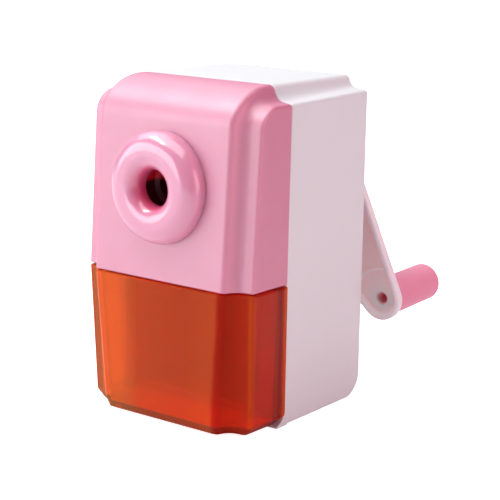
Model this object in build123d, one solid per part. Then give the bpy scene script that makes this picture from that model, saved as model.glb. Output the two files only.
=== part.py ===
from build123d import *
import os
from math import radians, degrees, sin, cos, tan, pi, sqrt, acos, atan2, hypot

os.makedirs("parts", exist_ok=True)

# ----------------------------------------------------------------------------
# Driving dimensions, mm.  +Z up, front faces -Y, X to the right seen from the
# front, origin on the table under the middle of the body.
# ----------------------------------------------------------------------------
W = 52.6            # body width over the side flanges
H = 85.1            # height to the raised top
D = 52.0            # depth, panel front at the parting line to the back face
HW = W / 2
YF = -D / 2         # front of the panel at the parting line
YB = D / 2          # back face
YS = -7.7           # seam between cover and housing
ZB = 36.8           # parting line between cover and bin
ZA = 59.9           # height of the pencil axis
HB = 0.3            # underside of the housing, the pad reaches the table
WALL = 2.0
SIDE_IN = 1.3       # the housing sides run in towards the bottom
BACK_IN = 0.9       # and towards the back
BACK_OUT = 3.0      # the back runs out towards the bottom

# stepped corner (raised panel, cove, flange)
PANEL = 6.9         # flange width: panel edge to outer side
OG_R1 = 1.5         # convex panel edge
OG_A1 = 77.0        # steepest slope of the cove
OG_R2 = 3.6         # cove
OG_A2 = 9.0         # slope of the flange
OG_R3 = 0.9         # outer edge
OG_R2B = 2.5        # cove at the back of the housing, shallower there

ROLL_Y = 13.5       # panel roll at the top front, length along the top
ROLL_Z = 9.2        # and down the front
ROLL_Y1 = 4.2       # the same on the flange
ROLL_Z1 = 5.0
LEAN = 3.2          # the cover leans back, degrees
GAP = 0.15          # open seam
EASE = 0.3          # small rounding of the seam edges

# bin
BIN_Z0 = 0.9        # underside of the bin
BIN_T = 1.8         # bin wall
BIN_BACK = 1.3      # front of the bin runs back at the bottom
BIN_PANEL_IN = 2.4  # panel edge runs in at the bottom
BIN_SIDE_IN = 1.0
BIN_TILT = 0.045    # the joint of bin and housing runs back towards the bottom, mm per mm
COR = 3.4           # rounding of the lower back corner of the bin
BIN_GAP = 0.3       # gap between the bin and the cover, below the parting line
BIN_EASE = 0.45     # rounding of the bin's upper edge
TRAY_HW = 21.2
TRAY_Y1 = 21.0
TRAY_Z0 = 2.6
TRAY_Z1 = 34.6
TRAY_T = 1.5

# pencil port
BORE = 4.4          # pencil bore radius
RING_R = 13.8
RING_H = 5.2        # ring stands this far off the panel
SLEEVE_R = 8.9

# clamp screws
POSTS = [(20.3, 72.6), (-20.3, 72.6), (20.3, 45.0), (-20.3, 45.0)]
POST_R = 3.3
POST_Y0 = -9.6      # front end of the posts
PLATE_Y0 = -12.2    # front of the mechanism plate
SCREW_SEAT = -3.6

# gear pair, cutter
BETA = 11.5         # cutter axis against the pencil axis
MOD = 0.8
N_RING = 36
N_PIN = 12
R_RING = MOD * N_RING / 2
R_PIN = MOD * N_PIN / 2
CUT_Y = -5.2        # pinion centre along the body
CUT_A = R_RING - R_PIN * cos(radians(BETA))   # pinion centre above the axis
CUT_R = 4.5
CUT_L0 = 1.5        # cutter starts here along its own axis
CUT_L1 = 26.0
PIN_R = 1.5
JOURNAL = 9.0

# rear boss and shaft
BOSS_R = 13.0
BOSS_Y = 33.4
BOSS_IN = 11.2
BOSS_FLOOR = 31.0
SHAFT_R = 3.0

# crank
ARM_Y0 = 34.5       # rim of the arm, facing the body
ARM_T = 2.7
ARM_RECESS = 1.3
ARM_RIM = 1.0
ARM_DRAFT = 1.2     # the recess walls slope in by this much
ARM_ANG = -54.7     # direction of the arm as it hangs, degrees
ARM_L = 42.95       # hub to knob
FLARE = 2.2         # the arm runs outwards towards the knob, degrees
HUB_R = 14.9
END_R = 5.8
KNOB_R = 5.1
KNOB_L = 21.4       # knob length from the arm
ARM_Y1 = ARM_Y0 + ARM_T
KNOB_X = ARM_L * cos(radians(ARM_ANG))        # knob axis before the flare
KNOB_Z = ZA + ARM_L * sin(radians(ARM_ANG))
KNOB_Y1 = ARM_Y1 + KNOB_L

PARTS = {}


# ----------------------------------------------------------------------------
# helpers
# ----------------------------------------------------------------------------
def ogee(xp, xs, r1=OG_R1, r2=OG_R2, r3=OG_R3, a1=OG_A1, a2=OG_A2):
    """Corner section from the panel edge xp to the side xs: points as
    (distance across, depth below the panel), arcs with their mid points."""
    t1, t2 = radians(a1), radians(a2)
    p0 = (xp, 0.0)
    m1 = (xp + r1 * sin(t1 / 2), r1 * (1 - cos(t1 / 2)))
    p1 = (xp + r1 * sin(t1), r1 * (1 - cos(t1)))
    tm = (t1 + t2) / 2
    m2 = (p1[0] + r2 * (sin(t1) - sin(tm)), p1[1] + r2 * (cos(tm) - cos(t1)))
    p2 = (p1[0] + r2 * (sin(t1) - sin(t2)), p1[1] + r2 * (cos(t2) - cos(t1)))
    xe = xs - r3 * (1 - sin(t2))
    run = (xe - p2[0]) / cos(t2)
    p3 = (xe, p2[1] + run * sin(t2))
    t3 = (t2 + pi / 2) / 2
    m3 = (p3[0] + r3 * (sin(t3) - sin(t2)), p3[1] + r3 * (cos(t2) - cos(t3)))
    p4 = (xs, p3[1] + r3 * cos(t2))
    return p0, m1, p1, m2, p2, p3, m3, p4


def ogee_samples(xp, xs):
    """The same section as a row of points for lofting."""
    t1, t2 = radians(OG_A1), radians(OG_A2)
    p0, m1, p1, m2, p2, p3, m3, p4 = ogee(xp, xs)
    out = []
    for k in range(10):
        a = t1 * k / 10
        out.append((xp + OG_R1 * sin(a), OG_R1 * (1 - cos(a))))
    for k in range(11):
        a = t1 + (t2 - t1) * k / 10
        out.append((p1[0] + OG_R2 * (sin(t1) - sin(a)), p1[1] + OG_R2 * (cos(a) - cos(t1))))
    for k in range(9):
        a = t2 + (pi / 2 - t2) * k / 8
        out.append((p3[0] + OG_R3 * (sin(a) - sin(t2)), p3[1] + OG_R3 * (cos(t2) - cos(a))))
    return out


def wire(path):
    """Closed wire from ('l', end), ('a', mid, end) and ('b', pole, pole, end)
    steps after a start."""
    cur = path[0]
    edges = []
    for step in path[1:]:
        if step[0] == "b":
            edges.append(Edge.make_bezier(cur, *step[1:]))
            cur = step[-1]
        elif step[0] == "l":
            if (Vector(*cur) - Vector(*step[1])).length > 1e-6:
                edges.append(Edge.make_line(cur, step[1]))
            cur = step[1]
        else:
            edges.append(Edge.make_three_point_arc(cur, step[1], step[2]))
            cur = step[2]
    return Wire(edges)


def corner_path(f, og):
    """Left panel edge to right side and round: both ogee corners."""
    p0, m1, p1, m2, p2, p3, m3, p4 = og
    right = [("l", f(p0)), ("a", f(m1), f(p1)), ("a", f(m2), f(p2)),
             ("l", f(p3)), ("a", f(m3), f(p4))]
    n = lambda p: f((-p[0], p[1]))
    left = [("a", n(m3), n(p3)), ("l", n(p2)), ("a", n(m2), n(p1)), ("a", n(m1), n(p0))]
    return n(p0), right, left, n(p4)


def prism_y(points, y0, y1):
    w = Wire.make_polygon([(x, y0, z) for x, z in points], close=True)
    return Solid.extrude(Face(w), (0, y1 - y0, 0))


def box(x0, x1, y0, y1, z0, z1):
    return Pos((x0 + x1) / 2, (y0 + y1) / 2, (z0 + z1) / 2) * Box(x1 - x0, y1 - y0, z1 - z0)


def cyl_y(r, y0, y1, x=0.0, z=0.0):
    """Cylinder along Y."""
    return Plane(origin=(x, y0, z), x_dir=(1, 0, 0), z_dir=(0, 1, 0)).location * Cylinder(
        r, y1 - y0, align=(Align.CENTER, Align.CENTER, Align.MIN))


def rev_y(profile, x=0.0, z=0.0):
    """Solid of revolution about a Y line from (radius, y) points."""
    w = Wire.make_polygon([(x + r, y, z) for r, y in profile], close=True)
    return Solid.revolve(Face(w), 360, Axis((x, 0, z), (0, 1, 0)))


def one(shape):
    """The single solid of a result."""
    s = shape.solids()
    s = sorted(s, key=lambda q: -q.volume)
    return s[0]


# ----------------------------------------------------------------------------
# rear housing
# ----------------------------------------------------------------------------
OG = ogee(HW - PANEL, HW)


def housing_wire(y, ease=0.0):
    """Cross section of the housing at one depth, drawn in by ease."""
    k = BACK_IN * (y - YS) / (YB - YS) + ease
    r2 = OG_R2 + (OG_R2B - OG_R2) * (y - YS) / (YB - YS)
    st, rgt, lft, sl = corner_path(lambda p: (p[0], y, H - ease - p[1]), ogee(HW - PANEL - k, HW - k, r2=r2))
    low_x = HW - k - SIDE_IN
    return wire([st] + rgt + [("l", (low_x, y, HB)), ("l", (-low_x, y, HB)), ("l", sl)] + lft)


outer = Solid.make_loft([housing_wire(YS, EASE), housing_wire(YS + 0.4 * EASE, 0.4 * EASE), housing_wire(YS + EASE),
                         housing_wire(YB + 6)], ruled=True)
# sloping back with the rounded lower edge
LOW_R = 6.0
dl = atan2(BACK_OUT, H)
yc = YB + BACK_OUT * (H - HB) / H
tl = LOW_R / tan((pi / 2 - dl) / 2)
xw = -HW - 1
ph = (-pi / 2 + dl) / 2
slope = wire([(xw, YB - BACK_OUT * 2 / H, H + 2), ("l", (xw, yc - tl * sin(dl), HB + tl * cos(dl))),
              ("a", (xw, yc - tl + LOW_R * cos(ph), HB + LOW_R + LOW_R * sin(ph)), (xw, yc - tl, HB)),
              ("l", (xw, yc - tl, HB - 3)), ("l", (xw, YB + 20, HB - 3)), ("l", (xw, YB + 20, H + 2)),
              ("l", (xw, YB - BACK_OUT * 2 / H, H + 2))])
outer = one(outer - Solid.extrude(Face(slope), (W + 2, 0, 0)))
rim = [e for e in outer.edges()
       if e.center().Y > YB - 1e-3 or (e.center().Z < 7.0 and e.center().Y > YB - 5 and abs(e.center().X) > HW - 4)]
rim = [e for e in rim if not (abs(e.center().X) < HW - 4 and e.center().Z < 8)]
outer = outer.fillet(0.8, rim)
# below the parting line the front edge slopes back, with a toe under the rounded corner of the bin
BY = YS - 0.25


def joint_y(z):
    return YS + BIN_TILT * (ZB - z)


q = wire([(-HW - 1, YS - 2, ZB), ("l", (-HW - 1, YS, ZB)), ("l", (-HW - 1, joint_y(-1), -1)), ("l", (-HW - 1, YS - 2, -1)),
          ("l", (-HW - 1, YS - 2, ZB))])
outer = one(outer - Solid.extrude(Face(q), (W + 2, 0, 0)))
Z_C = BIN_Z0 + COR
Y_C = joint_y(Z_C) - 0.25 - COR
R_T = COR + 0.25
Y_TIP = Y_C + 0.6
q = wire([(-HW - 1, Y_C + R_T, Z_C),
          ("a", (-HW - 1, Y_C + R_T * sin(pi / 4), Z_C - R_T * cos(pi / 4)), (-HW - 1, Y_TIP, Z_C - sqrt(R_T ** 2 - 0.36))),
          ("l", (-HW - 1, Y_TIP, HB)), ("l", (-HW - 1, Y_C + R_T + 1.5, HB)), ("l", (-HW - 1, Y_C + R_T + 1.5, Z_C)),
          ("l", (-HW - 1, Y_C + R_T, Z_C))])
toe = Solid.make_loft([housing_wire(YS - 4), housing_wire(YS + 4)], ruled=True) & Solid.extrude(Face(q), (W + 2, 0, 0))
TOE_X = 22.3
toe -= box(-TOE_X, TOE_X, YS - 6, YS + 6, -1, 20)


def cavity(t, y0, y1, ztop_extra=0.0):
    """Inside of the stepped section, two nested prisms."""
    hw_p = HW - PANEL - t + 0.2
    hw_f = HW - t
    d = OG[5][1]
    a = box(-hw_p, hw_p, y0, y1, HB + t, H - t)
    b = box(-hw_f, hw_f, y0, y1, HB + t, H - d - t)
    return a + b


def inner_wire(y, hw, zt, run_in):
    k = BACK_IN * (y - YS) / (YB - YS)
    return Wire.make_polygon([(-(hw - k), y, zt), (hw - k, y, zt), (hw - k - run_in, y, HB + WALL),
                              (-(hw - k - run_in), y, HB + WALL)], close=True)


Y_IN = YB - WALL
z_fl = H - OG[5][1] - WALL
inner = Solid.make_loft([inner_wire(YS - 1, HW - WALL, z_fl, SIDE_IN), inner_wire(Y_IN, HW - WALL, z_fl, SIDE_IN)], ruled=True)
inner += Solid.make_loft([inner_wire(YS - 1, HW - PANEL - WALL + 0.2, H - WALL, 0), inner_wire(Y_IN, HW - PANEL - WALL + 0.2, H - WALL, 0)], ruled=True)
low = inner.edges().filter_by(Axis.X).filter_by(lambda e: abs(e.center().Y - Y_IN) < 1e-3 and e.center().Z < 5)
inner = inner.fillet(4.0, low)
housing = outer - inner + toe

# locating lip that plugs into the cover
lip = cavity(WALL + 0.15, YS - 1.6, YS + 1.5) - cavity(WALL + 1.15, YS - 3.0, YS + 3)
lip = lip & box(-HW, HW, YS - 3, YS + 3, 40.5, H)
lip_root = (cavity(WALL - 0.5, YS, YS + 1.5) - cavity(WALL + 1.15, YS - 3.0, YS + 3)) & box(
    -HW, HW, YS - 3, YS + 3, 40.5, H)
housing = housing + lip + lip_root

# posts for the clamp screws
for px, pz in POSTS:
    housing += cyl_y(POST_R, POST_Y0, YB - 1.0, px, pz)
# rear boss
boss = cyl_y(BOSS_R, YB - 1.5, BOSS_Y, 0, ZA)
boss = boss.fillet(1.2, boss.edges().filter_by(lambda e: e.center().Y > BOSS_Y - 0.01))
housing += boss
foot = housing.edges().filter_by(GeomType.CIRCLE).filter_by(
    lambda e: YB - 0.1 < e.center().Y < YB + 2.5 and abs(e.radius - BOSS_R) < 1e-3)
if len(foot):
    housing = housing.fillet(1.5, foot)
housing -= cyl_y(BOSS_IN, YB - WALL - 1.0, BOSS_FLOOR, 0, ZA)
housing -= cyl_y(4.6, BOSS_FLOOR - 1, BOSS_Y + 1, 0, ZA)
for px, pz in POSTS:
    housing -= cyl_y(1.75, POST_Y0 - 1, YB, px, pz)
    housing -= cyl_y(2.95, SCREW_SEAT, YB + 5, px, pz)
# bin rails
for sx in (1, -1):
    housing += box(*sorted((sx * 20.2, sx * (HW - WALL - 0.8))), YS + 0.6, YB - WALL + 0.2, TRAY_Z1 + 0.5, TRAY_Z1 + 2.0)
# recess for the anti-slip pad
PAD_HX, PAD_Y0, PAD_Y1, PAD_R, PAD_IN = 20.5, -4.0, 18.5, 4.0, 0.9


def pad_block(grow, z0, z1):
    b = box(-PAD_HX - grow, PAD_HX + grow, PAD_Y0 - grow, PAD_Y1 + grow, z0, z1)
    return b.fillet(PAD_R + grow, b.edges().filter_by(Axis.Z))


housing -= pad_block(0.1, HB - 1, HB + PAD_IN)
PARTS["rear_housing"] = one(housing)

pad = pad_block(0, 0, HB + PAD_IN)
pad = pad.fillet(0.2, pad.edges().filter_by(lambda e: abs(e.center().Z) < 0.01))
PARTS["base_pad"] = one(pad)


# ----------------------------------------------------------------------------
# front cover
# ----------------------------------------------------------------------------
TL = tan(radians(LEAN))


D_STEP = ogee_samples(HW - PANEL, HW)[-1][1]


def cover_section(x, d, roll, y_back, z_low, ease=0.0):
    """Side view of the cover at one x: leaning front, roll, flat top."""
    zt = H - d
    yc = YF + d + (zt - ZB) * TL
    ry, rz = roll
    sl, cl = sin(radians(LEAN)), cos(radians(LEAN))
    q = 0.5523
    a = (x, yc - rz * sl, zt - rz * cl)
    b = (x, yc + ry, zt)
    a1 = (x, yc - rz * sl * (1 - q), zt - rz * cl * (1 - q))
    b1 = (x, yc + ry * (1 - q), zt)
    face = lambda z, e: (x, YF + d + (z - ZB) * TL + e, z)
    if ease:
        low = [face(z_low, ease), ("l", face(z_low + 0.4 * ease, 0.4 * ease)), ("l", face(z_low + ease, 0))]
        top = [("l", (x, y_back - ease, zt)), ("l", (x, y_back - 0.4 * ease, zt - 0.4 * ease)), ("l", (x, y_back, zt - ease))]
    else:
        low = [face(z_low, 0)]
        top = [("l", (x, y_back, zt))]
    return wire(low + [("l", a), ("b", a1, b1, b)] + top + [("l", (x, y_back, z_low)), ("l", low[0])])


def roll_at(d):
    """Roll lengths at a step depth."""
    k = d / D_STEP
    return ROLL_Y + (ROLL_Y1 - ROLL_Y) * k, ROLL_Z + (ROLL_Z1 - ROLL_Z) * k


YB_C = YS - GAP
ZL_C = ZB + GAP
mid = Solid.extrude(Face(cover_section(-(HW - PANEL), 0, roll_at(0), YB_C, ZL_C, EASE)), (2 * (HW - PANEL), 0, 0))
side_secs = [cover_section(x, d, roll_at(d), YB_C, ZL_C, EASE) for x, d in ogee_samples(HW - PANEL, HW)]
side_r = Solid.make_loft(side_secs, ruled=True)
side_l_ = side_r.mirror(Plane.YZ)
cover = mid + side_r + side_l_


def cover_cut(hw, d, t):
    r = [max(1.5, v - t) for v in roll_at(d)]
    w = cover_section(-hw, d + t, r, YB_C + 4, ZL_C - 2)
    return Solid.extrude(Face(w), (2 * hw, 0, 0))


cover -= cover_cut(HW - PANEL - WALL + 0.2, 0, WALL)
cover -= cover_cut(HW - WALL, OG[5][1], WALL)
# bosses for the clamp screws
boss_c = None
for px, pz in POSTS:
    b = cyl_y(POST_R, YF + 4, PLATE_Y0, px, pz) & (mid + side_r + side_l_)
    cover += b
# the side edges are eased too
for sx in (1, -1):
    w = Wire.make_polygon([(sx * (HW - EASE), YB_C + 1, ZL_C), (sx * (HW + 1), YB_C + 1, ZL_C), (sx * (HW + 1), YB_C + 1, ZL_C + EASE + 1),
                           (sx * HW, YB_C + 1, ZL_C + EASE), (sx * (HW - 0.6 * EASE), YB_C + 1, ZL_C + 0.4 * EASE)][::sx], close=True)
    cover -= Solid.extrude(Face(w), (0, -30, 0))
    w = Wire.make_polygon([(sx * (HW - EASE), YB_C, ZL_C - 1), (sx * (HW + 1), YB_C, ZL_C - 1), (sx * (HW + 1), YB_C - EASE - 1, ZL_C - 1),
                           (sx * HW, YB_C - EASE, ZL_C - 1), (sx * (HW - 0.6 * EASE), YB_C - 0.4 * EASE, ZL_C - 1)][::sx], close=True)
    cover -= Solid.extrude(Face(w), (0, 0, 60))
for px, pz in POSTS:
    cover -= cyl_y(1.5, -16.4, PLATE_Y0 + 1, px, pz)
cover -= cyl_y(SLEEVE_R + 0.1, YF - 3, -15, 0, ZA)
PARTS["front_cover"] = one(cover)


# ----------------------------------------------------------------------------
# pencil ring and guide
# ----------------------------------------------------------------------------
Y_PANEL = YF + (ZA - ZB) * TL         # panel at the axis
Y_CREST = Y_PANEL - RING_H
FUN = 3.9                             # funnel radius
Y_THROAT = Y_CREST + FUN + 0.8        # end of the ring's own bore, the guide starts behind it
SHO = 4.4                             # outer shoulder radius
Q = sqrt(0.5)
pr = lambda r, y: (r, y, ZA)
ring_e = [
    Edge.make_line(pr(BORE, Y_THROAT), pr(BORE, Y_CREST + FUN)),
    Edge.make_three_point_arc(pr(BORE, Y_CREST + FUN), pr(BORE + FUN * (1 - Q), Y_CREST + FUN * (1 - Q)),
                              pr(BORE + FUN, Y_CREST)),
    Edge.make_line(pr(BORE + FUN, Y_CREST), pr(RING_R - SHO, Y_CREST)),
    Edge.make_three_point_arc(pr(RING_R - SHO, Y_CREST), pr(RING_R - SHO * (1 - Q), Y_CREST + SHO * (1 - Q)),
                              pr(RING_R, Y_CREST + SHO))]
rest = [pr(RING_R, Y_CREST + SHO), pr(RING_R, -21.0), pr(SLEEVE_R, -21.0), pr(SLEEVE_R, -18.5), pr(6.6, -18.5),
        pr(6.6, Y_THROAT), pr(BORE, Y_THROAT)]
ring_e += [Edge.make_line(p, q) for p, q in zip(rest[:-1], rest[1:])]
ring = Solid.revolve(Face(Wire(ring_e)), 360, Axis((0, 0, ZA), (0, 1, 0)))
# the foot of the ring follows the leaning panel
half = prism_y([(-20, -20), (20, -20), (20, 20), (-20, 20)], 0, 12)
lean_cut = Plane(origin=(0, Y_PANEL - 0.02, ZA)).location * (Rot(-LEAN, 0, 0) * half)
outer_tube = rev_y([(SLEEVE_R, -40), (30, -40), (30, 0), (SLEEVE_R, 0)], 0, ZA)
ring = ring - (lean_cut & outer_tube)
PARTS["pencil_port_ring"] = one(ring)

guide = rev_y([(5.3, Y_THROAT + 0.1), (6.5, Y_THROAT + 0.1), (6.5, -18.4), (10.6, -18.4), (10.6, -17.0), (6.4, -17.0),
               (6.4, -13.3), (BORE, -13.3), (BORE, -20.0), (5.3, -20.9)], 0, ZA)
PARTS["pencil_guide"] = one(guide)


# ----------------------------------------------------------------------------
# mechanism plate, ring gear
# ----------------------------------------------------------------------------
def inv(a):
    return tan(a) - a


PRESS = radians(20)


def pinion_points(n, m, add, ded, thin, steps=4):
    rp = m * n / 2
    rb = rp * cos(PRESS)
    rt, rr = rp + add, rp - ded
    half_p = (pi * m / 2 - thin) / 2 / rp
    pts = []
    for k in range(n):
        c = 2 * pi * k / n
        flank = []
        flank.append((rr, half_p + inv(PRESS)))
        for i in range(steps + 1):
            r = rb + (rt - rb) * i / steps
            al = acos(min(1.0, rb / r))
            flank.append((r, half_p + inv(PRESS) - inv(al)))
        for r, h in flank:
            pts.append((r * cos(c - h), r * sin(c - h)))
        for r, h in reversed(flank):
            pts.append((r * cos(c + h), r * sin(c + h)))
    return pts


def ring_points(n, m, add, ded, wide):
    """Inner outline of an internal gear, one space centred on +Z."""
    rp = m * n / 2
    rb = rp * cos(PRESS)
    r_tip, r_root = rp - add, rp + ded
    half_s = (pi * m / 2 + wide) / 2 / rp
    pts = []
    for k in range(n):
        c = pi / 2 + 2 * pi * k / n
        flank = []
        for r in (r_tip, rp, r_root):
            al = acos(min(1.0, rb / r))
            flank.append((r, half_s + inv(PRESS) - inv(al)))
        for r, h in flank:
            pts.append((r * cos(c - h), r * sin(c - h)))
        for r, h in reversed(flank):
            pts.append((r * cos(c + h), r * sin(c + h)))
    return pts


RG_Y0, RG_Y1 = -7.0, -2.6
RG_R = 17.4
teeth = ring_points(N_RING, MOD, 0.5, 1.05, 0.16)
rg = cyl_y(RG_R, RG_Y0, RG_Y1, 0, ZA) - prism_y([(x, z + ZA) for x, z in teeth], RG_Y0 - 1, RG_Y1 + 1)
PARTS["ring_gear"] = one(rg)

plate = box(-23.2, 23.2, PLATE_Y0, POST_Y0, 41.6, 76.0)
plate = plate.fillet(3.0, plate.edges().filter_by(Axis.Y))
plate += cyl_y(18.7, POST_Y0 - 0.5, RG_Y1, 0, ZA)
plate -= cyl_y(15.8, POST_Y0, RG_Y1 + 1, 0, ZA)
plate -= cyl_y(RG_R + 0.01, RG_Y0, RG_Y1 + 1, 0, ZA)
plate -= cyl_y(JOURNAL + 0.06, PLATE_Y0 - 1, POST_Y0 + 1, 0, ZA)
for px, pz in POSTS:
    plate -= cyl_y(1.75, PLATE_Y0 - 1, POST_Y0 + 1, px, pz)
PARTS["mechanism_frame"] = one(plate)

# clamp screws
screws = []
for px, pz in POSTS:
    s = rev_y([(0, -16.0), (0.6, -16.0), (1.45, -14.6), (1.45, SCREW_SEAT), (2.7, SCREW_SEAT),
               (2.7, SCREW_SEAT + 1.2), (1.9, SCREW_SEAT + 2.0), (0, SCREW_SEAT + 2.0)], px, pz)
    s = s - box(px - 1.5, px + 1.5, SCREW_SEAT + 1.0, SCREW_SEAT + 3, pz - 0.3, pz + 0.3)
    s = s - box(px - 0.3, px + 0.3, SCREW_SEAT + 1.0, SCREW_SEAT + 3, pz - 1.5, pz + 1.5)
    screws.append(one(s))
PARTS["case_screws"] = Compound(children=screws)


# ----------------------------------------------------------------------------
# cutter carrier, shaft, cutter
# ----------------------------------------------------------------------------
SB, CB = sin(radians(BETA)), cos(radians(BETA))
CUT_O = (0, CUT_Y, ZA + CUT_A)
CUT_PL = Plane(origin=CUT_O, x_dir=(1, 0, 0), z_dir=(0, CB, -SB))


def cyl_c(r, l0, l1):
    """Cylinder about the cutter axis between two stations."""
    return CUT_PL.location * (Pos(0, 0, l0) * Cylinder(r, l1 - l0, align=(Align.CENTER, Align.CENTER, Align.MIN)))


def slot_c(w, l0, l1, h=14.0):
    """Slot from the cutter axis outwards."""
    return CUT_PL.location * (Pos(0, -h / 2, (l0 + l1) / 2) * Box(w, h, l1 - l0))


CONE_Y0 = 1.6
TIP_Y = CONE_Y0 + 3.75 / tan(radians(BETA))
car = rev_y([(0, -13.0), (JOURNAL, -13.0), (JOURNAL, -9.4), (13.2, -9.4), (13.2, -7.4), (12.6, -7.2), (12.6, 10.0),
             (10.6, 20.6), (10.6, 27.8), (9.8, 28.6), (0, 28.6)], 0, ZA)
car -= cyl_y(BORE + 0.3, -14, CONE_Y0, 0, ZA)
car -= rev_y([(0, CONE_Y0 - 0.01), (3.9, CONE_Y0 - 0.01), (0.35, TIP_Y), (0, TIP_Y)], 0, ZA)
car -= cyl_c(CUT_R + 0.6, 1.2, CUT_L1 + 0.4)
car -= slot_c(2 * CUT_R + 1.2, 1.2, CUT_L1 + 0.4)
car -= cyl_c(6.1, -1.7, 1.8)
car -= slot_c(12.2, -1.7, 1.8)
# chip windows
car -= box(-14, 14, -1.5, 18.0, ZA - 14, ZA - 6.8)
for sx in (1, -1):
    car -= box(*sorted((sx * 8.2, sx * 14)), -1.5, 18.0, ZA - 9, ZA + 3.5)
car -= cyl_c(PIN_R + 0.01, -3.4, 29.4)
car -= cyl_y(SHAFT_R + 0.01, 25.2, 30, 0, ZA)
PARTS["cutter_carrier"] = one(car)

PARTS["cutter_pin"] = one(cyl_c(PIN_R, -3.3, 29.2))

shaft = cyl_y(SHAFT_R, 25.3, ARM_Y1 + 2.3, 0, ZA)
shaft -= box(-4, 4, ARM_Y0 - 0.6, 45, ZA + 2.2, ZA + 4)
shaft -= cyl_y(1.25, ARM_Y1 - 4.0, 45, 0, ZA)
PARTS["drive_shaft"] = one(shaft)

PARTS["thrust_washer"] = one(rev_y([(3.06, 28.9), (7.5, 28.9), (7.5, 29.6), (3.06, 29.6)], 0, ZA))
PARTS["rear_bush"] = one(rev_y([(3.05, 29.9), (6.6, 29.9), (6.6, BOSS_FLOOR), (4.59, BOSS_FLOOR), (4.59, BOSS_Y),
                                (3.05, BOSS_Y)], 0, ZA))

# helical cutter: twisted star between stacked stations
N_CUT = 12
secs = []
STEPS = 7
for j in range(STEPS + 1):
    z = CUT_L0 + (CUT_L1 - CUT_L0) * j / STEPS
    tw = radians(-75.0 * j / STEPS)
    pts = []
    for k in range(N_CUT):
        a = 2 * pi * k / N_CUT + tw
        for r, da in ((CUT_R, 0.0), (CUT_R - 0.15, 0.10), (CUT_R - 0.75, 0.30)):
            pts.append((r * cos(a + da), r * sin(a + da), z))
    secs.append(Wire.make_polygon(pts, close=True))
cutter = Solid.make_loft(secs, ruled=True)
cutter = cutter + Pos(0, 0, -1.3) * Cylinder(2.6, CUT_L0 + 1.3 + 0.5, align=(Align.CENTER, Align.CENTER, Align.MIN))
cutter = cutter - Pos(0, 0, -3) * Cylinder(PIN_R + 0.05, 35, align=(Align.CENTER, Align.CENTER, Align.MIN))
PARTS["helical_cutter"] = one(CUT_PL.location * one(cutter))

pp = pinion_points(N_PIN, MOD, 0.6, 1.0, 0.28)
pin_f = Face(Wire.make_polygon([(x, y, -1.3) for x, y in pp], close=True))
pinion = Solid.extrude(pin_f, (0, 0, 2.6)) - Pos(0, 0, -3) * Cylinder(2.61, 6, align=(Align.CENTER, Align.CENTER, Align.MIN))
PARTS["cutter_pinion"] = one(CUT_PL.location * one(pinion))


# ----------------------------------------------------------------------------
# crank
# ----------------------------------------------------------------------------
def teardrop(r0, r1, y):
    """Outline of the arm: hub circle, end circle and their outer tangents."""
    dx, dz = KNOB_X, KNOB_Z - ZA
    L = hypot(dx, dz)
    base = atan2(dz, dx)
    off = acos((r0 - r1) / L)
    pt = lambda cx, cz, r, a: (cx + r * cos(a), y, cz + r * sin(a))
    a1, a2 = base + off, base - off
    p1 = pt(0, ZA, r0, a1)
    p2 = pt(KNOB_X, KNOB_Z, r1, a1)
    p3 = pt(KNOB_X, KNOB_Z, r1, a2)
    p4 = pt(0, ZA, r0, a2)
    return wire([p1, ("l", p2), ("a", pt(KNOB_X, KNOB_Z, r1, base), p3), ("l", p4),
                 ("a", pt(0, ZA, r0, base + pi), p1)])


FLARE_AX = Axis((0, ARM_Y0 + ARM_T / 2, ZA), (-sin(radians(ARM_ANG)), 0, cos(radians(ARM_ANG))))
arm = Solid.extrude(Face(teardrop(HUB_R, END_R, ARM_Y0)), (0, ARM_T, 0))
arm = arm.fillet(0.9, arm.faces().sort_by(Axis.Y)[-1].edges())
arm = arm.fillet(0.5, arm.faces().sort_by(Axis.Y)[0].edges())
# recess with sloping walls
IN1 = ARM_RIM + ARM_DRAFT
recess = Solid.make_loft([teardrop(HUB_R - ARM_RIM + ARM_DRAFT / ARM_RECESS, END_R - ARM_RIM + ARM_DRAFT / ARM_RECESS, ARM_Y0 - 1),
                          teardrop(HUB_R - IN1, END_R - IN1, ARM_Y0 + ARM_RECESS)], ruled=True)
recess = recess.fillet(0.9, recess.faces().sort_by(Axis.Y)[-1].edges())
arm = arm - recess
lip_e = [e for e in arm.faces().sort_by(Axis.Y)[0].inner_wires()[0].edges()]
arm = arm.fillet(0.4, lip_e)
# raised hub on the outside
hub = cyl_y(8.6, ARM_Y1 - 0.5, ARM_Y1 + 3.2, 0, ZA)
hub = hub.fillet(1.0, hub.edges().filter_by(lambda e: e.center().Y > ARM_Y1 + 2))
arm += hub
hub_foot = arm.edges().filter_by(GeomType.CIRCLE).filter_by(
    lambda e: abs(e.center().Y - ARM_Y1) < 1e-3 and abs(e.radius - 8.6) < 1e-3)
if len(hub_foot):
    arm = arm.fillet(1.2, hub_foot)
# curved rib round the knob in the recess
RIB_R = 8.1
rib = cyl_y(RIB_R + 0.35, ARM_Y0 + ARM_RECESS - 0.45, ARM_Y1 - 0.8, KNOB_X, KNOB_Z) - cyl_y(
    RIB_R - 0.35, ARM_Y0, ARM_Y1, KNOB_X, KNOB_Z)
arm += rib & Solid.extrude(Face(teardrop(HUB_R - 1.0, END_R - 1.0, ARM_Y0)), (0, ARM_T, 0))
# knob hole with its snap groove
STEM = 1.75
arm -= cyl_y(STEM + 0.05, ARM_Y0, ARM_Y1 + 1, KNOB_X, KNOB_Z)
arm -= cyl_y(STEM + 0.40, ARM_Y1 - 1.05, ARM_Y1 - 0.35, KNOB_X, KNOB_Z)
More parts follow.
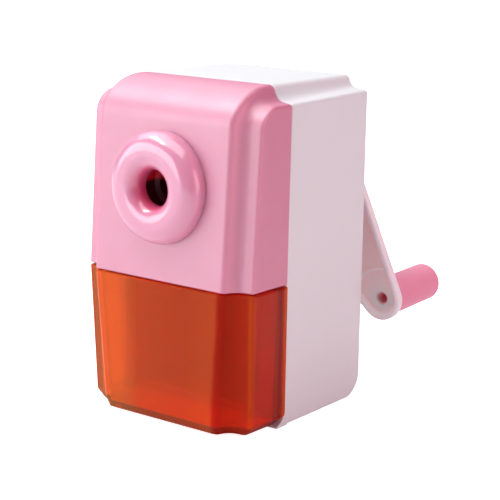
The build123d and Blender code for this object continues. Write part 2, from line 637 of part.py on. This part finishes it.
# the blade is flared, the shaft seat stays square to the shaft
arm = one(arm).rotate(FLARE_AX, FLARE)
arm += cyl_y(5.6, ARM_Y0 - 0.3, ARM_Y1, 0, ZA)
dbore = cyl_y(SHAFT_R + 0.02, ARM_Y0 - 2, ARM_Y1 + 5, 0, ZA) - box(-5, 5, ARM_Y0 - 3, ARM_Y1 + 6, ZA + 2.22, ZA + 5)
arm -= dbore
arm -= cyl_y(4.6, ARM_Y1 + 2.4, ARM_Y1 + 6, 0, ZA)
PARTS["crank_arm"] = one(arm)

W_Y = ARM_Y1 + 2.42
PARTS["crank_washer"] = one(rev_y([(1.4, W_Y), (4.2, W_Y), (4.2, W_Y + 0.6), (1.4, W_Y + 0.6)], 0, ZA))
scr = rev_y([(0, W_Y - 6.0), (1.2, W_Y - 6.0), (1.2, W_Y + 0.6), (2.8, W_Y + 0.6), (2.8, W_Y + 1.6), (2.0, W_Y + 2.4),
             (0, W_Y + 2.4)], 0, ZA)
scr -= box(-1.6, 1.6, W_Y + 1.4, W_Y + 3, ZA - 0.3, ZA + 0.3)
scr -= box(-0.3, 0.3, W_Y + 1.4, W_Y + 3, ZA - 1.6, ZA + 1.6)
PARTS["crank_screw"] = one(scr)

# knob: hollow stem, slightly domed tip with a rounded edge
STEM_IN = 1.4
K0 = ARM_Y1 + 0.3
kn = [(STEM_IN, ARM_Y1 - 1.2), (STEM, ARM_Y1 - 1.2), (STEM, ARM_Y1 - 0.95), (STEM + 0.3, ARM_Y1 - 0.8),
      (STEM + 0.3, ARM_Y1 - 0.6), (STEM, ARM_Y1 - 0.45), (STEM, K0)]
pts3 = lambda r, y: (KNOB_X + r, y, KNOB_Z)
edges = [Edge.make_line(pts3(*kn[i]), pts3(*kn[i + 1])) for i in range(len(kn) - 1)]
edges.append(Edge.make_line(pts3(STEM, K0), pts3(KNOB_R - 0.6, K0)))
edges.append(Edge.make_three_point_arc(pts3(KNOB_R - 0.6, K0), pts3(KNOB_R - 0.18, K0 + 0.18), pts3(KNOB_R, K0 + 0.6)))
FIL = 1.0
edges.append(Edge.make_line(pts3(KNOB_R, K0 + 0.6), pts3(KNOB_R - 0.1, KNOB_Y1 - FIL - 0.3)))
edges.append(Edge.make_three_point_arc(pts3(KNOB_R - 0.1, KNOB_Y1 - FIL - 0.3),
                                       pts3(KNOB_R - 0.1 - FIL * 0.293, KNOB_Y1 - 0.3 - FIL * 0.293),
                                       pts3(KNOB_R - 0.1 - FIL, KNOB_Y1 - 0.3)))
edges.append(Edge.make_line(pts3(KNOB_R - 0.1 - FIL, KNOB_Y1 - 0.3), pts3(0, KNOB_Y1)))
edges.append(Edge.make_line(pts3(0, KNOB_Y1), pts3(0, ARM_Y1 + 4.0)))
edges.append(Edge.make_line(pts3(0, ARM_Y1 + 4.0), pts3(STEM_IN, ARM_Y1 + 4.0)))
edges.append(Edge.make_line(pts3(STEM_IN, ARM_Y1 + 4.0), pts3(STEM_IN, ARM_Y1 - 1.2)))
knob = Solid.revolve(Face(Wire(edges)), 360, Axis((KNOB_X, 0, KNOB_Z), (0, 1, 0)))
PARTS["crank_knob"] = one(knob.rotate(FLARE_AX, FLARE))


# ----------------------------------------------------------------------------
# shavings bin
# ----------------------------------------------------------------------------
def bin_wire(z, back, xp, xs, y_back, r1=OG_R1, r2=OG_R2, r3=OG_R3, a1=OG_A1, a2=OG_A2):
    f = lambda p: (p[0], YF + back + p[1], z)
    st, rgt, lft, sl = corner_path(f, ogee(xp, xs, r1, r2, r3, a1, a2))
    pth = [st] + rgt + [("l", (xs, y_back, z)), ("l", (-xs, y_back, z)), ("l", sl)] + lft
    return wire(pth)


def bin_at(z):
    k = (ZB - z) / (ZB - BIN_Z0)
    return BIN_BACK * k, HW - PANEL - BIN_PANEL_IN * k, HW - BIN_SIDE_IN * k


CH_Z = 3.2          # top of the bottom bevel
zt = ZB - BIN_GAP
b0, xp0, xs0 = bin_at(zt)
b1, xp1, xs1 = bin_at(CH_Z)
b1 = BIN_BACK
sec_m = bin_wire(CH_Z, b1, xp1, xs1, joint_y(CH_Z) - 0.25)
sec_b = bin_wire(BIN_Z0, b1 + 0.8, xp1 - 0.6, xs1 - 2.2, joint_y(BIN_Z0) - 0.25)
rows = [sec_b, sec_m]
for k in range(5):
    q = pi / 2 * k / 4
    e_ = BIN_EASE * (1 - cos(q))
    z_ = zt - BIN_EASE + BIN_EASE * sin(q)
    rows.append(bin_wire(z_, b0 + e_, xp0 - 0.8 * e_, xs0 - e_, joint_y(z_) - 0.25))
front = Solid.make_loft(rows, ruled=True)

IN = dict(r1=0.3, r2=5.5, r3=0.4, a1=76.0, a2=9.0)
b2, xp2, xs2 = bin_at(zt + 1)
b3, xp3, xs3 = bin_at(BIN_Z0 + BIN_T)
LIP = 1.3           # the flanges reach this far behind the step to the tray
Y_SH = BY - LIP - 1.3
in_t = bin_wire(zt + 1, b2 + BIN_T, xp2 - 0.15, xs2 - BIN_T, Y_SH, **IN)
in_b = bin_wire(BIN_Z0 + BIN_T, b3 + BIN_T, xp3 - 0.15, xs3 - BIN_T, Y_SH, **IN)
front_in = Solid.make_loft([in_b, in_t], ruled=True)
bin_ = front - front_in
lip_t = Wire.make_polygon([(-xs2 + BIN_T, BY - LIP, zt + 1), (xs2 - BIN_T, BY - LIP, zt + 1), (xs2 - BIN_T, BY + 4, zt + 1),
                           (-xs2 + BIN_T, BY + 4, zt + 1)], close=True)
lip_b = Wire.make_polygon([(-xs3 + BIN_T, BY - LIP, BIN_Z0 + BIN_T), (xs3 - BIN_T, BY - LIP, BIN_Z0 + BIN_T),
                           (xs3 - BIN_T, BY + 4, BIN_Z0 + BIN_T), (-xs3 + BIN_T, BY + 4, BIN_Z0 + BIN_T)], close=True)
bin_ = bin_ - Solid.make_loft([lip_b, lip_t], ruled=True)
# tray behind the shell
tray = box(-TRAY_HW, TRAY_HW, Y_SH, TRAY_Y1, TRAY_Z0, TRAY_Z1)
tray += box(-TRAY_HW, TRAY_HW, Y_SH, BY - 0.2, BIN_Z0 + 0.6, TRAY_Z0 + 1)
tray = tray.fillet(2.0, tray.edges().filter_by(Axis.Z).filter_by(lambda e: e.center().Y > TRAY_Y1 - 1))
bin_ = bin_ + tray
cut = box(-TRAY_HW + TRAY_T, TRAY_HW - TRAY_T, Y_SH - 0.8, TRAY_Y1 - TRAY_T, TRAY_Z0 + TRAY_T, 40)
bin_ = bin_ - cut
# lower back corner of the side flanges is rounded off
for sx in (1, -1):
    xq = sx * (TRAY_HW + 0.3)
    q = wire([(xq, Y_C + COR, Z_C), ("a", (xq, Y_C + COR * sqrt(0.5), Z_C - COR * sqrt(0.5)), (xq, Y_C, BIN_Z0)),
              ("l", (xq, Y_C, BIN_Z0 - 1)), ("l", (xq, Y_C + COR + 3, BIN_Z0 - 1)), ("l", (xq, Y_C + COR + 3, Z_C)), ("l", (xq, Y_C + COR, Z_C))])
    bin_ = bin_ - Solid.extrude(Face(q), (sx * 6, 0, 0))
PARTS["shavings_bin"] = one(bin_)

for name, shape in PARTS.items():
    export_step(shape, f"parts/{name}.step")
    vols = [round(s.volume, 1) for s in shape.solids()]
    print(name, vols, "valid" if shape.is_valid else "INVALID")
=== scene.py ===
import bpy, bmesh, math
from mathutils import Matrix, Vector

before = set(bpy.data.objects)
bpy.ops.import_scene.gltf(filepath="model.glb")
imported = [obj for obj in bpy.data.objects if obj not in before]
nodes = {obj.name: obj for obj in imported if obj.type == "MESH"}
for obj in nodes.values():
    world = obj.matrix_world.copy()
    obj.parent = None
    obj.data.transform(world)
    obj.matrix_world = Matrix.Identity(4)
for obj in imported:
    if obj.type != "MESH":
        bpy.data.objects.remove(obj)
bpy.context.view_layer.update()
scene = bpy.context.scene
MM = 0.001

# ----------------------------------------------------------------------------
# colour management: plain display colours, so that white stays white
# ----------------------------------------------------------------------------
scene.view_settings.view_transform = "Standard"
scene.view_settings.look = "None"
scene.view_settings.exposure = 0.0
scene.view_settings.gamma = 1.0
scene.cycles.use_denoising = True
scene.cycles.max_bounces = 20
scene.cycles.diffuse_bounces = 6
scene.cycles.glossy_bounces = 6
scene.cycles.transmission_bounces = 18
scene.cycles.transparent_max_bounces = 16


# ----------------------------------------------------------------------------
# material helpers
# ----------------------------------------------------------------------------
def new_mat(name):
    m = bpy.data.materials.new(name)
    m.use_nodes = True
    nt = m.node_tree
    nt.nodes.clear()
    out = nt.nodes.new("ShaderNodeOutputMaterial")
    bsdf = nt.nodes.new("ShaderNodeBsdfPrincipled")
    nt.links.new(bsdf.outputs["BSDF"], out.inputs["Surface"])
    return m, nt, bsdf, out


def coords(nt):
    return nt.nodes.new("ShaderNodeTexCoord").outputs["Object"]


def noise(nt, co, scale, detail=2.0, rough=0.5):
    n = nt.nodes.new("ShaderNodeTexNoise")
    n.inputs["Scale"].default_value = scale
    n.inputs["Detail"].default_value = detail
    n.inputs["Roughness"].default_value = rough
    nt.links.new(co, n.inputs["Vector"])
    return n.outputs["Fac"]


def ramp(nt, fac, a, b, lo=0.35, hi=0.65):
    r = nt.nodes.new("ShaderNodeValToRGB")
    r.color_ramp.elements[0].position = lo
    r.color_ramp.elements[1].position = hi
    r.color_ramp.elements[0].color = (*a, 1.0)
    r.color_ramp.elements[1].color = (*b, 1.0)
    nt.links.new(fac, r.inputs["Fac"])
    return r.outputs["Color"]


def span(nt, fac, lo, hi):
    r = nt.nodes.new("ShaderNodeMapRange")
    r.inputs["From Min"].default_value = 0.3
    r.inputs["From Max"].default_value = 0.7
    r.inputs["To Min"].default_value = lo
    r.inputs["To Max"].default_value = hi
    nt.links.new(fac, r.inputs["Value"])
    return r.outputs["Result"]


def bump(nt, bsdf, height, strength, dist):
    b = nt.nodes.new("ShaderNodeBump")
    b.inputs["Strength"].default_value = strength
    b.inputs["Distance"].default_value = dist
    nt.links.new(height, b.inputs["Height"])
    nt.links.new(b.outputs["Normal"], bsdf.inputs["Normal"])
    return b


def shade(c, k):
    return tuple(min(1.0, x * k) for x in c)


def math_node(nt, op, a, b):
    n = nt.nodes.new("ShaderNodeMath")
    n.operation = op
    for i, v in enumerate((a, b)):
        if isinstance(v, (int, float)):
            n.inputs[i].default_value = v
        else:
            nt.links.new(v, n.inputs[i])
    return n.outputs["Value"]


def step(nt, val, lo, hi):
    """0 below lo, 1 above hi, smooth between."""
    r = nt.nodes.new("ShaderNodeMapRange")
    r.interpolation_type = "SMOOTHSTEP"
    r.inputs["From Min"].default_value = lo
    r.inputs["From Max"].default_value = hi
    nt.links.new(val, r.inputs["Value"])
    return r.outputs["Result"]


def blend(nt, fac, a, b):
    x = nt.nodes.new("ShaderNodeMixRGB")
    nt.links.new(fac, x.inputs["Fac"])
    for i, v in ((1, a), (2, b)):
        if isinstance(v, tuple):
            x.inputs[i].default_value = (*v, 1.0)
        else:
            nt.links.new(v, x.inputs[i])
    return x.outputs["Color"]


def from_axis(nt, co, z):
    """Distance from the line along Y at height z."""
    mp = nt.nodes.new("ShaderNodeMapping")
    mp.inputs["Location"].default_value = (0, 0, -z)
    mp.inputs["Scale"].default_value = (1, 0, 1)
    nt.links.new(co, mp.inputs["Vector"])
    d = nt.nodes.new("ShaderNodeVectorMath")
    d.operation = "LENGTH"
    nt.links.new(mp.outputs["Vector"], d.inputs[0])
    return d.outputs["Value"]


def along(nt, co, n, p):
    """Distance along the direction n, from the point p."""
    s = nt.nodes.new("ShaderNodeVectorMath")
    s.operation = "SUBTRACT"
    s.inputs[1].default_value = p
    nt.links.new(co, s.inputs[0])
    d = nt.nodes.new("ShaderNodeVectorMath")
    d.operation = "DOT_PRODUCT"
    d.inputs[1].default_value = n
    nt.links.new(s.outputs["Vector"], d.inputs[0])
    return d.outputs["Value"]


def plastic(name, col, rough, var=0.015, grain=3200.0, grain_s=0.10, coat=0.0, coat_r=0.1, sss=0.0, spec=0.5, ior=1.5,
            painted_lighting=None):
    """Moulded plastic: faint flow tint, slight gloss change, fine mould grain; painted_lighting = colour and mask of
    painted light and shade laid on a hollow or face.
    """
    m, nt, b, out = new_mat(name)
    co = coords(nt)
    flow = noise(nt, co, 55.0, 3.0, 0.55)
    base = ramp(nt, flow, shade(col, 1 - var), shade(col, 1 + var))
    # painted light and shade: the mask blends in a colour that stands in for light or shade
    if painted_lighting:
        base = blend(nt, painted_lighting[1](nt, co), base, painted_lighting[0])
    nt.links.new(base, b.inputs["Base Color"])
    patch = noise(nt, co, 140.0, 4.0, 0.6)
    nt.links.new(span(nt, patch, rough - 0.03, rough + 0.04), b.inputs["Roughness"])
    fine = noise(nt, co, grain, 2.0, 0.6)
    bump(nt, b, fine, grain_s, 0.00002)
    b.inputs["Specular IOR Level"].default_value = spec
    b.inputs["IOR"].default_value = ior
    if coat:
        b.inputs["Coat Weight"].default_value = coat
        b.inputs["Coat Roughness"].default_value = coat_r
        b.inputs["Coat IOR"].default_value = 1.7
    if sss:
        b.inputs["Subsurface Weight"].default_value = sss
        b.inputs["Subsurface Scale"].default_value = 0.0025
        b.inputs["Subsurface Radius"].default_value = (1.0, 0.22, 0.32)
    return m


def metal(name, col, rough, stretch=(1, 1, 1), scale=900.0):
    """Turned or ground steel: fine drawn lines."""
    m, nt, b, out = new_mat(name)
    mp = nt.nodes.new("ShaderNodeMapping")
    mp.inputs["Scale"].default_value = stretch
    nt.links.new(coords(nt), mp.inputs["Vector"])
    n = noise(nt, mp.outputs["Vector"], scale, 3.0, 0.6)
    nt.links.new(ramp(nt, n, shade(col, 0.88), shade(col, 1.1)), b.inputs["Base Color"])
    nt.links.new(span(nt, n, rough - 0.06, rough + 0.08), b.inputs["Roughness"])
    bump(nt, b, n, 0.15, 0.00001)
    b.inputs["Metallic"].default_value = 1.0
    return m


def clear_plastic(name, stops, rough, trans, spec, tint, soak, soak_d):
    """Clear tinted plastic: an amber ramp across the moulding with painted light on the left part and painted shade
    at the right panel corner and cove; the walls soak up light along their length.
    """
    m, nt, b, out = new_mat(name)
    co = coords(nt)
    xyz = nt.nodes.new("ShaderNodeSeparateXYZ")
    nt.links.new(co, xyz.inputs["Vector"])
    flow = noise(nt, co, 60.0, 3.0, 0.5)
    wob = span(nt, flow, -0.004, 0.004)
    pos = nt.nodes.new("ShaderNodeMapRange")
    pos.inputs["From Min"].default_value = -0.027
    pos.inputs["From Max"].default_value = 0.027
    # the panel edge runs in towards the bottom, and the painted light and shade bands follow it
    drop = math_node(nt, "SUBTRACT", 0.0368, xyz.outputs["Z"])
    run = math_node(nt, "MULTIPLY", math_node(nt, "MULTIPLY", drop, 0.0667), step(nt, xyz.outputs["X"], 0.0, 0.010))
    nt.links.new(math_node(nt, "ADD", xyz.outputs["X"], run), pos.inputs["Value"])
    add = nt.nodes.new("ShaderNodeMath")
    add.operation = "ADD"
    nt.links.new(pos.outputs["Result"], add.inputs[0])
    nt.links.new(wob, add.inputs[1])
    r = nt.nodes.new("ShaderNodeValToRGB")
    r.color_ramp.interpolation = "EASE"
    while len(r.color_ramp.elements) < len(stops):
        r.color_ramp.elements.new(0.5)
    for e, (x, c) in zip(r.color_ramp.elements, stops):
        e.position = (x + 27.0) / 54.0
        e.color = (*c, 1.0)
    nt.links.new(add.outputs["Value"], r.inputs["Fac"])
    base = r.outputs["Color"]
    # side walls: a painted dark shade band and a painted bright glow rim along the rear edge, which leans back
    # towards the bottom
    lean = along(nt, co, (0.0, 1.0, 0.045), (0.0, -0.0077, 0.0368))
    across = math_node(nt, "ABSOLUTE", xyz.outputs["X"], 0.0)
    wall = step(nt, across, 0.0195, 0.0205)
    shade_band = math_node(nt, "MULTIPLY", wall, step(nt, lean, -0.0040, -0.0030))
    glow_rim = math_node(nt, "MULTIPLY", wall, step(nt, lean, -0.0018, -0.0013))
    base = blend(nt, shade_band, base, PAINTED_SHADE_BAND)
    base = blend(nt, glow_rim, base, PAINTED_GLOW_RIM)
    # outer upright edge between the flange and the side, painted as a bright glow line
    out_d = math_node(nt, "MULTIPLY", math_node(nt, "SUBTRACT", across, xyz.outputs["Y"]), 0.7071)
    out_d = math_node(nt, "ADD", out_d, math_node(nt, "MULTIPLY", drop, 0.047))
    base = blend(nt, step(nt, out_d, 0.0330, 0.0334), base, PAINTED_GLOW_EDGE)
    nt.links.new(base, b.inputs["Base Color"])
    patch = noise(nt, co, 160.0, 4.0, 0.6)
    nt.links.new(span(nt, patch, rough - 0.02, rough + 0.03), b.inputs["Roughness"])
    b.inputs["Transmission Weight"].default_value = trans
    b.inputs["IOR"].default_value = 1.35
    b.inputs["Specular IOR Level"].default_value = spec
    b.inputs["Specular Tint"].default_value = (*tint, 1.0)
    va = nt.nodes.new("ShaderNodeVolumeAbsorption")
    va.inputs["Color"].default_value = (*soak, 1.0)
    va.inputs["Density"].default_value = soak_d
    nt.links.new(va.outputs["Volume"], out.inputs["Volume"])
    return m


PINK = (0.635, 0.188, 0.320)
WHITE = (0.77, 0.79, 0.81)
# amber hue across the bin, lighter on the left as painted light through the walls, a dark painted-shade line at the
# right panel corner (19.2 to 20.3 mm) and a darker painted-shade cove beyond
AMBER_PAINTED_LIGHT_STOPS = ((-24, (0.88, 0.30, 0.075)), (-12, (0.88, 0.27, 0.06)), (-6, (0.93, 0.16, 0.033)), (8, (0.93, 0.14, 0.03)), (18.0, (0.97, 0.17, 0.03)),
         (19.2, (0.70, 0.025, 0.003)), (20.3, (0.72, 0.03, 0.004)), (21.5, (0.86, 0.06, 0.01)), (26, (0.86, 0.06, 0.01)))
# painted colours on the bin walls: a dark painted-shade band, a painted glow along the rear rim, a painted glow along
# the outer upright edge
PAINTED_SHADE_BAND, PAINTED_GLOW_RIM, PAINTED_GLOW_EDGE = (0.46, 0.012, 0.002), (1.0, 0.22, 0.012), (1.0, 0.17, 0.02)


# painted shade: saturated pink within about 4.4 to 6.8 mm of the ring axis, standing in for shade and pink
# interreflection in the funnel
def funnel_painted_shade(nt, co):
    return math_node(nt, "SUBTRACT", 1.0, step(nt, from_axis(nt, co, 0.0599), 0.0044, 0.0068))


# painted light: the arm's recess floor and sloping walls painted pinker, standing in for pink light reflected from
# the cover and knob
def recess_painted_bounce(nt, co):
    t, f = math.radians(-54.7), math.radians(2.2)
    n = (-math.sin(f) * math.cos(t), math.cos(f), -math.sin(f) * math.sin(t))
    low = step(nt, along(nt, co, n, (0.0, 0.03585, 0.0599)), -0.0009, -0.0001)
    facing = along(nt, nt.nodes.new("ShaderNodeTexCoord").outputs["Normal"], tuple(-x for x in n), (0.0, 0.0, 0.0))
    return math_node(nt, "MULTIPLY", low, step(nt, facing, 0.2, 0.85))


# painted light: the upper half of the pencil guide painted bright red, standing in for light from above
def upper_half_painted_light(nt, co):
    return step(nt, along(nt, co, (0.0, 0.0, 1.0), (0.0, 0.0, 0.0599)), 0.0004, 0.0016)


# painted light: a lighter pink inside the knob's blind stem bore, which sits in shade
def stem_bore_painted_light(nt, co):
    n, p = (-0.022183, 0.999263, 0.03133), (0.024801, 0.037499, 0.024873)
    v = nt.nodes.new("ShaderNodeVectorMath")
    v.operation = "SUBTRACT"
    v.inputs[1].default_value = p
    nt.links.new(co, v.inputs[0])
    x = nt.nodes.new("ShaderNodeVectorMath")
    x.operation = "CROSS_PRODUCT"
    x.inputs[1].default_value = n
    nt.links.new(v.outputs["Vector"], x.inputs[0])
    r = nt.nodes.new("ShaderNodeVectorMath")
    r.operation = "LENGTH"
    nt.links.new(x.outputs["Vector"], r.inputs[0])
    near = math_node(nt, "SUBTRACT", 1.0, step(nt, r.outputs["Value"], 0.0026, 0.0032))
    return math_node(nt, "MULTIPLY", near, math_node(nt, "SUBTRACT", 1.0, step(nt, along(nt, co, n, p), 0.0055, 0.0065)))


M = {
    "pink_satin": plastic("pink_satin_plastic", PINK, 0.50, sss=0.4, spec=1.0, ior=1.80),
    # pencil port ring: the funnel is painted a deeper pink as painted shade
    "pink_gloss": plastic("pink_gloss_plastic", (0.75, 0.30, 0.45), 0.36, grain_s=0.02, coat=1.0, coat_r=0.04, sss=0.5, spec=0.6,
                          painted_lighting=((0.80, 0.11, 0.26), funnel_painted_shade)),
    # crank knob: the stem bore is painted lighter as painted light
    "pink_knob": plastic("pink_knob_plastic", (0.82, 0.31, 0.44), 0.40, sss=0.5, spec=0.05, painted_lighting=((1.0, 0.46, 0.50), stem_bore_painted_light)),
    "white": plastic("white_plastic_case", WHITE, 0.45, var=0.008),
    # crank arm: white plastic painted lighter and pinker than the case as painted pink reflected light; its recess
    # floor gets painted pink bounce light as well
    "white_arm": plastic("white_plastic_arm", (0.95, 0.845, 0.885), 0.42, var=0.008, sss=0.6, painted_lighting=((1.0, 0.74, 0.75), recess_painted_bounce)),
    "amber": clear_plastic("amber_clear_plastic", AMBER_PAINTED_LIGHT_STOPS, 0.12, 0.74, 0.30, (1.0, 0.35, 0.25), (0.90, 0.50, 0.25), 400.0),
    # pencil guide: near-black, with its upper half painted bright red as painted light
    "dark": plastic("dark_plastic_inner", (0.06, 0.004, 0.010), 0.40, painted_lighting=((0.80, 0.015, 0.04), upper_half_painted_light)),
    "maroon": plastic("maroon_plastic_carrier", (0.30, 0.035, 0.07), 0.42),
    "inner": plastic("inner_plastic_natural", (0.76, 0.74, 0.70), 0.5),
    "steel": metal("steel_plated", (0.62, 0.62, 0.64), 0.28),
    "cutter": metal("steel_ground_cutter", (0.40, 0.40, 0.42), 0.30, (1, 0.2, 1)),
    "bronze": metal("bronze_sintered", (0.60, 0.40, 0.19), 0.42),
    "rubber": plastic("rubber_pad", (0.028, 0.028, 0.03), 0.8, var=0.1, grain=1500.0, grain_s=0.4),
}
USE = {
    "rear_housing": "white", "crank_arm": "white_arm", "front_cover": "pink_satin", "pencil_port_ring": "pink_gloss",
    "crank_knob": "pink_knob", "shavings_bin": "amber", "pencil_guide": "dark", "mechanism_frame": "inner",
    "ring_gear": "inner", "cutter_carrier": "maroon", "cutter_pinion": "inner", "case_screws": "steel",
    "crank_screw": "steel", "crank_washer": "steel", "thrust_washer": "inner", "drive_shaft": "steel",
    "cutter_pin": "steel", "helical_cutter": "cutter", "rear_bush": "bronze", "base_pad": "rubber",
}
for n, key in USE.items():
    o = nodes[n]
    for s in o.material_slots:
        s.material = M[key]

# ----------------------------------------------------------------------------
# stage: pale floor, white surroundings, soft boxes
# ----------------------------------------------------------------------------
AMBIENT, BACKDROP, FLOOR_GLOW = 0.12, 1.05, 0.92
me = bpy.data.meshes.new("floor")
R = 6.0
me.from_pydata([(-R, -R, 0), (R, -R, 0), (R, R, 0), (-R, R, 0)], [], [(0, 1, 2, 3)])
floor = bpy.data.objects.new("floor", me)
scene.collection.objects.link(floor)
fm, nt, b, out = new_mat("floor_pale")
co = coords(nt)
nt.links.new(ramp(nt, noise(nt, co, 3.0), (0.79, 0.79, 0.79), (0.81, 0.81, 0.81)), b.inputs["Base Color"])
b.inputs["Roughness"].default_value = 0.9
b.inputs["Specular IOR Level"].default_value = 0.1
glow = nt.nodes.new("ShaderNodeEmission")
glow.inputs["Color"].default_value = (1, 1, 1, 1)
glow.inputs["Strength"].default_value = FLOOR_GLOW
add = nt.nodes.new("ShaderNodeAddShader")
nt.links.new(b.outputs["BSDF"], add.inputs[0])
nt.links.new(glow.outputs["Emission"], add.inputs[1])
lp = nt.nodes.new("ShaderNodeLightPath")
see = nt.nodes.new("ShaderNodeMath")
see.operation = "MAXIMUM"
nt.links.new(lp.outputs["Is Camera Ray"], see.inputs[0])
nt.links.new(lp.outputs["Is Transmission Ray"], see.inputs[1])
mix = nt.nodes.new("ShaderNodeMixShader")
nt.links.new(see.outputs["Value"], mix.inputs["Fac"])
nt.links.new(b.outputs["BSDF"], mix.inputs[1])
nt.links.new(add.outputs["Shader"], mix.inputs[2])
nt.links.new(mix.outputs["Shader"], out.inputs["Surface"])
me.materials.append(fm)

world = bpy.data.worlds.new("studio")
scene.world = world
world.use_nodes = True
wn = world.node_tree
wn.nodes.clear()
wo = wn.nodes.new("ShaderNodeOutputWorld")
bg = wn.nodes.new("ShaderNodeBackground")
bg.inputs["Color"].default_value = (1.0, 0.98, 0.99, 1)
bg.inputs["Strength"].default_value = AMBIENT
bgc = wn.nodes.new("ShaderNodeBackground")
bgc.inputs["Color"].default_value = (1, 1, 1, 1)
bgc.inputs["Strength"].default_value = BACKDROP
lp = wn.nodes.new("ShaderNodeLightPath")
see = wn.nodes.new("ShaderNodeMath")
see.operation = "MAXIMUM"
wn.links.new(lp.outputs["Is Camera Ray"], see.inputs[0])
wn.links.new(lp.outputs["Is Transmission Ray"], see.inputs[1])
mx = wn.nodes.new("ShaderNodeMixShader")
wn.links.new(see.outputs["Value"], mx.inputs["Fac"])
wn.links.new(bg.outputs["Background"], mx.inputs[1])
wn.links.new(bgc.outputs["Background"], mx.inputs[2])
wn.links.new(mx.outputs["Shader"], wo.inputs["Surface"])


def soft_box(name, az, el, dist, size, power, col=(1, 1, 1), aim=(0.0, 0.0, 0.045)):
    L = bpy.data.lights.new(name, "AREA")
    L.shape = "RECTANGLE"
    L.size, L.size_y = size
    L.energy = power
    L.color = col
    o = bpy.data.objects.new(name, L)
    scene.collection.objects.link(o)
    a, e = math.radians(az), math.radians(el)
    d = Vector((math.sin(a) * math.cos(e), -math.cos(a) * math.cos(e), math.sin(e)))
    o.location = Vector(aim) + d * dist
    o.rotation_mode = "QUATERNION"
    o.rotation_quaternion = d.to_track_quat("Z", "Y")
    o.visible_camera = False
    return o


soft_box("key", -55, 57, 0.9, (0.56, 0.20), 3.0)
soft_box("front", -38, 6, 0.9, (1.10, 0.75), 8.2, (0.94, 0.98, 1.0))
soft_box("over", -108, 50, 0.9, (0.9, 0.6), 3.2)
soft_box("top", 10, 80, 0.9, (0.8, 0.8), 5.0)
soft_box("side", 100, 15, 0.9, (0.6, 0.6), 3.3, (1.0, 0.55, 0.65))
soft_box("rear", 217, 14, 1.1, (1.6, 0.7), 0.8)

# ----------------------------------------------------------------------------
# camera
# ----------------------------------------------------------------------------
AZ, EL, DIST, FPX, ROLL = 37.14, 12.38, 0.39128, 1568.3, 1.22
TARGET = Vector((11.59 * MM, -3.5 * MM, 42.92 * MM))
PX, PY = 251.21, 249.21
a, e = math.radians(AZ), math.radians(EL)
back = Vector((math.sin(a) * math.cos(e), -math.cos(a) * math.cos(e), math.sin(e)))
right = Vector((math.cos(a), math.sin(a), 0.0))
up = back.cross(right)
c, s = math.cos(math.radians(ROLL)), math.sin(math.radians(ROLL))
right, up = c * right + s * up, -s * right + c * up
pos = TARGET + back * DIST
fwd = (-back + right * ((250 - PX) / FPX) + up * ((PY - 250) / FPX)).normalized()
zc = -fwd
xc = (right - zc * right.dot(zc)).normalized()
yc = zc.cross(xc)
cam_d = bpy.data.cameras.new("camera")
cam_d.sensor_fit = "AUTO"
cam_d.sensor_width = 36.0
cam_d.lens = FPX * 36.0 / 500.0
cam_d.clip_start, cam_d.clip_end = 0.01, 50.0
cam = bpy.data.objects.new("camera", cam_d)
scene.collection.objects.link(cam)
cam.matrix_world = Matrix(((xc.x, yc.x, zc.x, pos.x), (xc.y, yc.y, zc.y, pos.y), (xc.z, yc.z, zc.z, pos.z), (0, 0, 0, 1)))
scene.camera = cam
